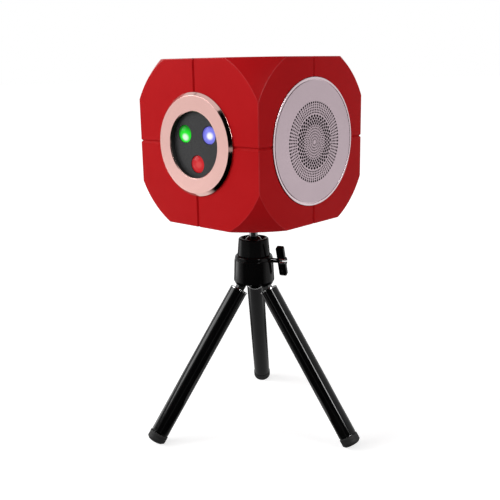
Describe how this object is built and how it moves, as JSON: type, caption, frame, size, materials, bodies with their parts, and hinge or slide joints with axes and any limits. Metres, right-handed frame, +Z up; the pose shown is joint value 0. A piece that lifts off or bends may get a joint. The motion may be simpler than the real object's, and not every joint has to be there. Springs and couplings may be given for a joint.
{
  "type": "laser projector speaker",
  "caption": "Red cube loudspeaker with a laser light projector face and round side grilles, on a folding pocket tripod with a ball head.",
  "frame": {"origin": "middle of the bounding box's underside, on the surface that the feet stand on", "axes": "+Z up; the laser face looks along -Y and the right-hand grille along +X"},
  "size_m": [0.1324, 0.1406, 0.2521],
  "materials": {
    "red_shell": "satin",
    "rose_gold_trim": "satin",
    "grille_metal": "satin",
    "window_grey": "satin",
    "lens_green": "gloss",
    "lens_blue": "gloss",
    "lens_red": "gloss",
    "black_gloss": "gloss",
    "leg_metal": "gloss",
    "black_matte": "matte",
    "black_rubber": "matte",
    "magnet_frame": "matte",
    "cone_paper": "matte",
    "steel": "satin",
    "chrome_steel": "polished",
    "brass": "satin",
    "board_green": "satin",
    "battery_wrap": "satin"
  },
  "bodies": {
    "base": {"head_housing": "black_gloss", "crown": "black_gloss", "hinge_pin_1": "steel", "hinge_pin_2": "steel", "hinge_pin_3": "steel"},
    "wing_screw": {"wing_screw": "black_gloss"},
    "ball_seat": {"ball_seat": "black_matte"},
    "ball_stud": {"ball_stud": "chrome_steel", "stud_pad": "black_rubber"},
    "speaker": {"upper_shell": "red_shell", "lower_shell": "red_shell", "case_screw_1": "steel", "case_screw_2": "steel", "case_screw_3": "steel", "case_screw_4": "steel", "front_bezel_ring": "rose_gold_trim", "laser_window": "window_grey", "lens_green": "lens_green", "lens_blue": "lens_blue", "lens_red": "lens_red", "laser_carrier": "black_matte", "laser_module_green": "brass", "laser_module_blue": "brass", "laser_module_red": "brass", "grating_motor": "steel", "grille_right": "grille_metal", "driver_frame_right": "magnet_frame", "grille_left": "grille_metal", "driver_frame_left": "magnet_frame", "rear_panel": "black_matte", "main_board": "board_green", "charging_port": "steel", "tripod_insert": "brass", "battery": "battery_wrap"},
    "leg_1": {"leg_knuckle_1": "steel", "leg_tube_1": "leg_metal"},
    "leg_1_inner": {"leg_inner_tube_1": "steel", "leg_foot_1": "black_rubber"},
    "leg_2": {"leg_knuckle_2": "steel", "leg_tube_2": "leg_metal"},
    "leg_2_inner": {"leg_inner_tube_2": "steel", "leg_foot_2": "black_rubber"},
    "leg_3": {"leg_knuckle_3": "steel", "leg_tube_3": "leg_metal"},
    "leg_3_inner": {"leg_inner_tube_3": "steel", "leg_foot_3": "black_rubber"},
    "cone_right": {"driver_cone_right": "cone_paper"},
    "cone_left": {"driver_cone_left": "cone_paper"},
    "button_power": {"button_power": "black_gloss"},
    "button_mode": {"button_mode": "black_gloss"},
    "button_volume_up": {"button_volume_up": "black_gloss"},
    "button_volume_down": {"button_volume_down": "black_gloss"},
    "button_play": {"button_play": "black_gloss"},
    "grating_pinion": {"grating_pinion": "brass"},
    "grating_green": {"grating_wheel_green": "black_matte"},
    "grating_blue": {"grating_wheel_blue": "black_matte"},
    "grating_red": {"grating_wheel_red": "black_matte"}
  },
  "joints": [
    {"name": "ball_pan", "type": "hinge", "parent": "base", "child": "ball_seat", "pos_m": [-0.01386, 0.00516, 0.12913], "axis": [0, 0, 1], "continuous": true},
    {"name": "ball_tilt", "type": "hinge", "parent": "ball_seat", "child": "ball_stud", "pos_m": [-0.01386, 0.00516, 0.12913], "axis": [1, 0, 0], "range_deg": [-35, 35]},
    {"name": "speaker_turn", "type": "hinge", "parent": "ball_stud", "child": "speaker", "pos_m": [-0.01386, 0.00516, 0.12913], "axis": [0, 0, 1], "continuous": true},
    {"name": "wing_screw_turn", "type": "hinge", "parent": "base", "child": "wing_screw", "pos_m": [-0.01386, 0.00516, 0.11938], "axis": [0.9272, 0.3746, 0], "range_deg": [0, 180]},
    {"name": "leg_1_fold", "type": "hinge", "parent": "base", "child": "leg_1", "pos_m": [-0.00653, 0.00619, 0.10568], "axis": [-0.1392, 0.9903, 0], "range_deg": [0, 33]},
    {"name": "leg_1_slide", "type": "slide", "parent": "leg_1", "child": "leg_1_inner", "axis": [0.5494, 0.0772, -0.832], "range_m": [0, 0.06]},
    {"name": "leg_2_fold", "type": "hinge", "parent": "base", "child": "leg_2", "pos_m": [-0.01841, 0.01099, 0.10568], "axis": [-0.788, -0.6157, 0], "range_deg": [0, 33]},
    {"name": "leg_2_slide", "type": "slide", "parent": "leg_2", "child": "leg_2_inner", "axis": [-0.3416, 0.4372, -0.832], "range_m": [0, 0.06]},
    {"name": "leg_3_fold", "type": "hinge", "parent": "base", "child": "leg_3", "pos_m": [-0.01663, -0.0017, 0.10568], "axis": [0.9272, -0.3746, 0], "range_deg": [0, 33]},
    {"name": "leg_3_slide", "type": "slide", "parent": "leg_3", "child": "leg_3_inner", "axis": [-0.2078, -0.5144, -0.832], "range_m": [0, 0.06]},
    {"name": "cone_right_travel", "type": "slide", "parent": "speaker", "child": "cone_right", "axis": [1, 0, 0], "range_m": [-0.0005, 0.0005], "stiffness_N_per_m": 1200},
    {"name": "cone_left_travel", "type": "slide", "parent": "speaker", "child": "cone_left", "axis": [-1, 0, 0], "range_m": [-0.0005, 0.0005], "stiffness_N_per_m": 1200},
    {"name": "button_power_press", "type": "slide", "parent": "speaker", "child": "button_power", "axis": [0, -1, 0], "range_m": [0, 0.0005], "stiffness_N_per_m": 800},
    {"name": "button_mode_press", "type": "slide", "parent": "speaker", "child": "button_mode", "axis": [0, -1, 0], "range_m": [0, 0.0005], "stiffness_N_per_m": 800},
    {"name": "button_volume_up_press", "type": "slide", "parent": "speaker", "child": "button_volume_up", "axis": [0, -1, 0], "range_m": [0, 0.0005], "stiffness_N_per_m": 800},
    {"name": "button_volume_down_press", "type": "slide", "parent": "speaker", "child": "button_volume_down", "axis": [0, -1, 0], "range_m": [0, 0.0005], "stiffness_N_per_m": 800},
    {"name": "button_play_press", "type": "slide", "parent": "speaker", "child": "button_play", "axis": [0, -1, 0], "range_m": [0, 0.0005], "stiffness_N_per_m": 800},
    {"name": "grating_pinion_spin", "type": "hinge", "parent": "speaker", "child": "grating_pinion", "pos_m": [-0.01386, -0.04584, 0.20113], "axis": [0, -1, 0], "continuous": true},
    {"name": "grating_green_spin", "type": "hinge", "parent": "speaker", "child": "grating_green", "pos_m": [-0.02425, -0.04584, 0.20713], "axis": [0, -1, 0], "continuous": true},
    {"name": "grating_blue_spin", "type": "hinge", "parent": "speaker", "child": "grating_blue", "pos_m": [-0.00347, -0.04584, 0.20713], "axis": [0, -1, 0], "continuous": true},
    {"name": "grating_red_spin", "type": "hinge", "parent": "speaker", "child": "grating_red", "pos_m": [-0.01386, -0.04584, 0.18913], "axis": [0, -1, 0], "continuous": true}
  ],
  "couplings": [
    {"joint": "grating_green_spin", "follows": "grating_pinion_spin", "ratio": -0.5},
    {"joint": "grating_blue_spin", "follows": "grating_pinion_spin", "ratio": -0.5},
    {"joint": "grating_red_spin", "follows": "grating_pinion_spin", "ratio": -0.5}
  ]
}
